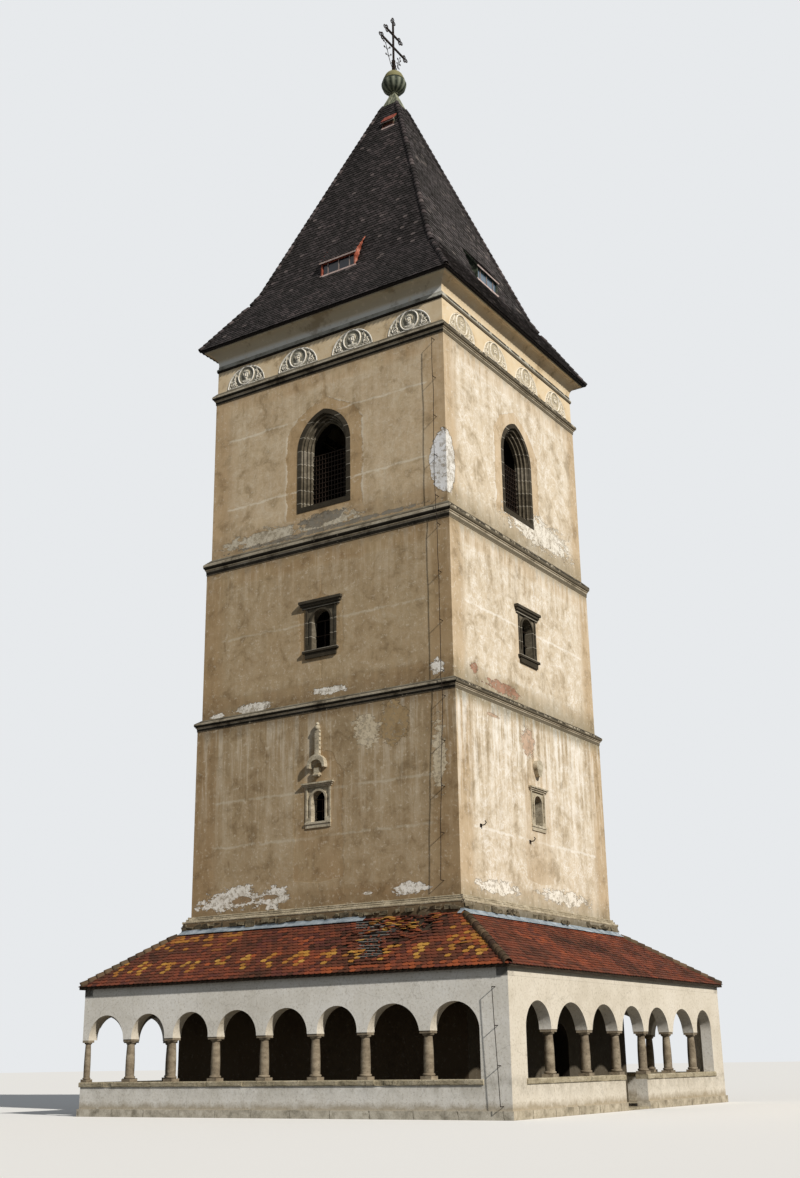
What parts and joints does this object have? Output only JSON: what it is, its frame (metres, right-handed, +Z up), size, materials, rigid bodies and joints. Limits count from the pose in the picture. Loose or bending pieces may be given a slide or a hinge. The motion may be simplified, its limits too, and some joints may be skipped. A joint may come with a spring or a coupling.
{
  "type": "bell tower in an arcaded walk",
  "caption": "Square masonry bell tower with moulded cornices, pointed belfry windows and a bell-cast pyramid roof, in a low arcaded walk under a lean-to tiled roof.",
  "frame": {"origin": "middle of the arcaded walk at ground level, the bottom centre of the whole object's box", "axes": "+Z up, -Y towards the front with its long row of arches, +X towards the side with the doorway"},
  "size_m": [14.2394, 14.2387, 39.6751],
  "materials": {
    "lime_plaster": "weathered lime wash",
    "coping_stone": "rough weathered sandstone",
    "column_stone": "worn sandstone",
    "eaves_wood": "dark weathered board",
    "lower_tile": "matte fired clay",
    "hip_tile": "mossy fired clay",
    "zinc_sheet": "dull sheet zinc",
    "ochre_plaster": "mottled lime plaster",
    "cornice_stone": "blackened moulded stone",
    "main_tile": "dark weathered clay",
    "frame_stone": "grey carved stone",
    "copper_sheet": "green-black weathered copper",
    "wrought_iron": "dark forged iron"
  },
  "bodies": {
    "root": {"arcade_parapets": "lime_plaster", "arcade_copings": "coping_stone", "corner_piers": "lime_plaster", "front_columns": "column_stone", "right_columns": "column_stone", "back_columns": "column_stone", "left_columns": "column_stone", "front_arcade_wall": "lime_plaster", "right_arcade_wall": "lime_plaster", "back_arcade_wall": "lime_plaster", "left_arcade_wall": "lime_plaster", "stone_floors": "coping_stone", "eaves_board": "eaves_wood", "front_lower_roof": "lower_tile", "right_lower_roof": "lower_tile", "back_lower_roof": "lower_tile", "left_lower_roof": "lower_tile", "lower_hip_tiles": "hip_tile", "roof_flashing": "zinc_sheet", "base_front_back_walls": "ochre_plaster", "base_side_walls": "ochre_plaster", "weathered_ledge": "coping_stone", "storey1_front_back_walls": "ochre_plaster", "storey1_side_walls": "ochre_plaster", "lower_cornice": "cornice_stone", "storey2_front_back_walls": "ochre_plaster", "storey2_side_walls": "ochre_plaster", "middle_cornice": "cornice_stone", "storey3_front_back_walls": "ochre_plaster", "storey3_side_walls": "ochre_plaster", "upper_cornice": "cornice_stone", "frieze_walls": "ochre_plaster", "string_course": "cornice_stone", "coved_eaves": "ochre_plaster", "main_roof": "main_tile", "main_hip_tiles": "hip_tile", "upper_floors": "eaves_wood", "belfry_window_frames": "frame_stone", "middle_window_frames": "frame_stone", "lower_window_frames": "frame_stone", "carved_fragments": "frame_stone", "dormers": "copper_sheet", "lightning_rod": "wrought_iron", "finial": "copper_sheet", "cross": "wrought_iron"}
  },
  "joints": []
}
